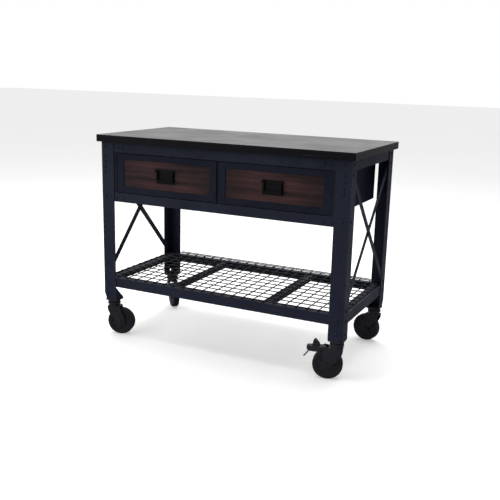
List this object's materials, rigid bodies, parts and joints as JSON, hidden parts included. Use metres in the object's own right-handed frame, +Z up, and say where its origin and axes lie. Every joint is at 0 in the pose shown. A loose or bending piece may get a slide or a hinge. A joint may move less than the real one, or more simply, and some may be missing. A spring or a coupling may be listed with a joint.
{
  "type": "rolling workbench",
  "caption": "Rolling steel workbench with a thick dark top, wood-fronted drawers, crossed end braces, a wire shelf and four swivel casters, one with a brake.",
  "frame": {"origin": "on the floor, under the middle of the bench", "axes": "+X along the bench's length to the right as seen from the drawers, +Y to the back, +Z up"},
  "size_m": [1.22, 0.61, 0.944],
  "materials": {
    "frame_steel": "powder coat, fine texture, satin, dark blue-black",
    "worktop_board": "black lacquer, satin, even",
    "drawer_wood": "dark red-brown stain, matt, planked",
    "drawer_steel": "powder coat, satin",
    "pull_metal": "dark bronze, satin, worn on edges",
    "shelf_wire": "powder coated wire, satin",
    "slide_steel": "zinc plated",
    "caster_steel": "black pressed steel, satin",
    "bolt_steel": "black zinc plated",
    "caster_tread": "dark moulded rubber, matt"
  },
  "bodies": {
    "bench": {"worktop": "worktop_board", "leg_front_left": "frame_steel", "leg_rear_left": "frame_steel", "leg_front_right": "frame_steel", "leg_rear_right": "frame_steel", "top_rail_left": "frame_steel", "top_rail_right": "frame_steel", "top_rail_front": "frame_steel", "top_rail_rear": "frame_steel", "drawer_rail": "frame_steel", "brace_outer_left": "frame_steel", "brace_inner_left": "frame_steel", "brace_outer_right": "frame_steel", "brace_inner_right": "frame_steel", "shelf_rail_left": "frame_steel", "shelf_rail_right": "frame_steel", "shelf_rail_front": "frame_steel", "shelf_rail_rear": "frame_steel", "wire_shelf": "shelf_wire", "shelf_bar_left": "frame_steel", "shelf_bar_right": "frame_steel", "drawer_case": "frame_steel", "case_divider": "frame_steel", "left_drawer_case_slide_left": "slide_steel", "left_drawer_case_slide_right": "slide_steel", "right_drawer_case_slide_left": "slide_steel", "right_drawer_case_slide_right": "slide_steel", "caster_plate_front_right": "caster_steel", "caster_plate_front_left": "caster_steel", "caster_plate_rear_right": "caster_steel", "caster_plate_rear_left": "caster_steel"},
    "left_drawer": {"left_drawer_front_frame": "frame_steel", "left_drawer_wood_panel": "drawer_wood", "left_drawer_pull_plate": "pull_metal", "left_drawer_box": "drawer_steel", "left_drawer_box_slide_left": "slide_steel", "left_drawer_box_slide_right": "slide_steel"},
    "left_bail": {"left_drawer_bail": "pull_metal"},
    "right_drawer": {"right_drawer_front_frame": "frame_steel", "right_drawer_wood_panel": "drawer_wood", "right_drawer_pull_plate": "pull_metal", "right_drawer_box": "drawer_steel", "right_drawer_box_slide_left": "slide_steel", "right_drawer_box_slide_right": "slide_steel"},
    "right_bail": {"right_drawer_bail": "pull_metal"},
    "fork_front_right": {"caster_fork_front_right": "caster_steel", "caster_axle_front_right": "bolt_steel"},
    "wheel_front_right": {"caster_wheel_front_right": "caster_tread"},
    "pedal_front_right": {"brake_pedal_front_right": "caster_steel"},
    "fork_front_left": {"caster_fork_front_left": "caster_steel", "caster_axle_front_left": "bolt_steel"},
    "wheel_front_left": {"caster_wheel_front_left": "caster_tread"},
    "fork_rear_right": {"caster_fork_rear_right": "caster_steel", "caster_axle_rear_right": "bolt_steel"},
    "wheel_rear_right": {"caster_wheel_rear_right": "caster_tread"},
    "fork_rear_left": {"caster_fork_rear_left": "caster_steel", "caster_axle_rear_left": "bolt_steel"},
    "wheel_rear_left": {"caster_wheel_rear_left": "caster_tread"}
  },
  "joints": [
    {"name": "left_drawer_slide", "type": "slide", "parent": "bench", "child": "left_drawer", "axis": [0, -1, 0], "range_m": [0, 0.33]},
    {"name": "left_bail_hinge", "type": "hinge", "parent": "left_drawer", "child": "left_bail", "pos_m": [-0.258, -0.2883, 0.80085], "axis": [-1, 0, 0], "range_deg": [0, 90]},
    {"name": "right_drawer_slide", "type": "slide", "parent": "bench", "child": "right_drawer", "axis": [0, -1, 0], "range_m": [0, 0.33]},
    {"name": "right_bail_hinge", "type": "hinge", "parent": "right_drawer", "child": "right_bail", "pos_m": [0.258, -0.2883, 0.80085], "axis": [-1, 0, 0], "range_deg": [0, 90]},
    {"name": "swivel_front_right", "type": "hinge", "parent": "bench", "child": "fork_front_right", "pos_m": [0.5605, -0.258, 0.16], "axis": [0, 0, 1], "continuous": true},
    {"name": "wheel_spin_front_right", "type": "hinge", "parent": "fork_front_right", "child": "wheel_front_right", "pos_m": [0.52691, -0.26782, 0.0635], "axis": [0.2807, -0.9598, 0], "continuous": true},
    {"name": "brake_pedal_front_right", "type": "hinge", "parent": "fork_front_right", "child": "pedal_front_right", "pos_m": [0.51251, -0.27203, 0.134], "axis": [0.2807, -0.9598, 0], "range_deg": [0, 10]},
    {"name": "swivel_front_left", "type": "hinge", "parent": "bench", "child": "fork_front_left", "pos_m": [-0.5605, -0.258, 0.16], "axis": [0, 0, 1], "continuous": true},
    {"name": "wheel_spin_front_left", "type": "hinge", "parent": "fork_front_left", "child": "wheel_front_left", "pos_m": [-0.52723, -0.24713, 0.0635], "axis": [-0.3107, 0.9505, 0], "continuous": true},
    {"name": "swivel_rear_right", "type": "hinge", "parent": "bench", "child": "fork_rear_right", "pos_m": [0.5605, 0.258, 0.16], "axis": [0, 0, 1], "continuous": true},
    {"name": "wheel_spin_rear_right", "type": "hinge", "parent": "fork_rear_right", "child": "wheel_rear_right", "pos_m": [0.52601, 0.26396, 0.0635], "axis": [-0.1702, -0.9854, 0], "continuous": true},
    {"name": "swivel_rear_left", "type": "hinge", "parent": "bench", "child": "fork_rear_left", "pos_m": [-0.5605, 0.258, 0.16], "axis": [0, 0, 1], "continuous": true},
    {"name": "wheel_spin_rear_left", "type": "hinge", "parent": "fork_rear_left", "child": "wheel_rear_left", "pos_m": [-0.53532, 0.23369, 0.0635], "axis": [0.6947, 0.7193, 0], "continuous": true}
  ]
}
